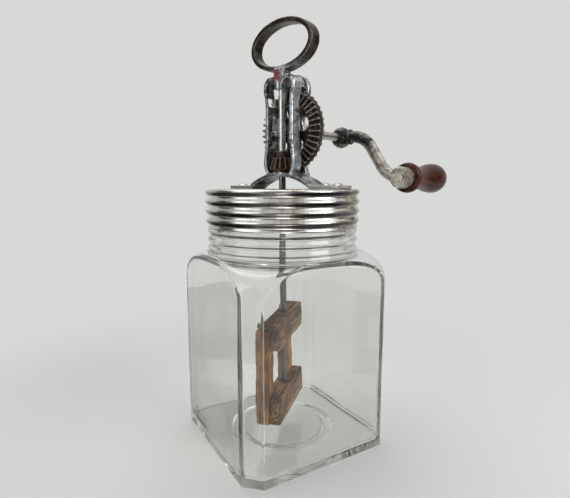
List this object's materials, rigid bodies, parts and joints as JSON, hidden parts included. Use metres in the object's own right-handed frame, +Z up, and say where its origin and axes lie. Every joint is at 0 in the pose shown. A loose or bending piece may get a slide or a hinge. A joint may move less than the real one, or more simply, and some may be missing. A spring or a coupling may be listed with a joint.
{
  "type": "glass jar butter churn",
  "caption": "Square glass jar butter churn: ribbed metal screw lid, frame with a ring handle, hand crank and bevel gears that spin a wooden dasher in the jar.",
  "frame": {"origin": "centre of the jar's underside, on the surface that it stands on", "axes": "+Z up along the dasher shaft, +X along the crank shaft out towards the crank, +Y completes the right-handed frame"},
  "size_m": [0.2078, 0.14, 0.3049],
  "materials": {
    "clear_glass": "clear pressed glass",
    "sealing_rubber": "matte",
    "tinned_sheet": "bright tinned sheet, stained with age",
    "plated_casting": "cast iron with worn plating",
    "rusty_gear_iron": "dark iron with a film of rust and grease",
    "polished_shaft_steel": "drawn steel",
    "grey_shaft_steel": "dull drawn steel",
    "worn_black_casting": "black paint worn to grey metal",
    "varnished_wood": "turned and varnished",
    "bare_wood": "sawn and weathered",
    "plain_steel": "dull",
    "washer_brass": "dull"
  },
  "bodies": {
    "jar": {"glass_jar": "clear_glass"},
    "seal": {"lid_gasket": "sealing_rubber"},
    "top": {"screw_lid": "tinned_sheet", "gear_frame": "plated_casting", "foot_rivets": "plain_steel"},
    "drive": {"crank_shaft": "polished_shaft_steel", "drive_gear": "rusty_gear_iron", "gear_pin": "plain_steel", "crank_arm": "worn_black_casting", "crank_pin": "plain_steel", "knob_spindle": "plain_steel"},
    "knob": {"crank_knob": "varnished_wood"},
    "dasher": {"dasher_shaft": "grey_shaft_steel", "dasher_pinion": "rusty_gear_iron", "pinion_pin": "plain_steel", "thrust_washer": "washer_brass", "upper_crossbar": "bare_wood", "lower_crossbar": "bare_wood", "near_slat": "bare_wood", "far_slat": "bare_wood", "slat_nails": "plain_steel", "crossbar_pins": "plain_steel"}
  },
  "joints": [
    {"name": "lid_lift", "type": "slide", "parent": "jar", "child": "seal", "axis": [0, 0, 1], "range_m": [0, 0.185]},
    {"name": "lid_turn", "type": "hinge", "parent": "seal", "child": "top", "pos_m": [0, 0, 0.18756], "axis": [0, 0, 1], "continuous": true},
    {"name": "crank_turn", "type": "hinge", "parent": "top", "child": "drive", "pos_m": [0, 0, 0.22966], "axis": [1, 0, 0], "continuous": true},
    {"name": "knob_spin", "type": "hinge", "parent": "drive", "child": "knob", "pos_m": [0.0776, -0.057, 0.19596], "axis": [1, 0, 0], "continuous": true},
    {"name": "dasher_spin", "type": "hinge", "parent": "top", "child": "dasher", "pos_m": [0, 0, 0.22966], "axis": [0, 0, 1], "continuous": true}
  ],
  "couplings": [
    {"joint": "dasher_spin", "follows": "crank_turn", "ratio": 3.3333}
  ]
}
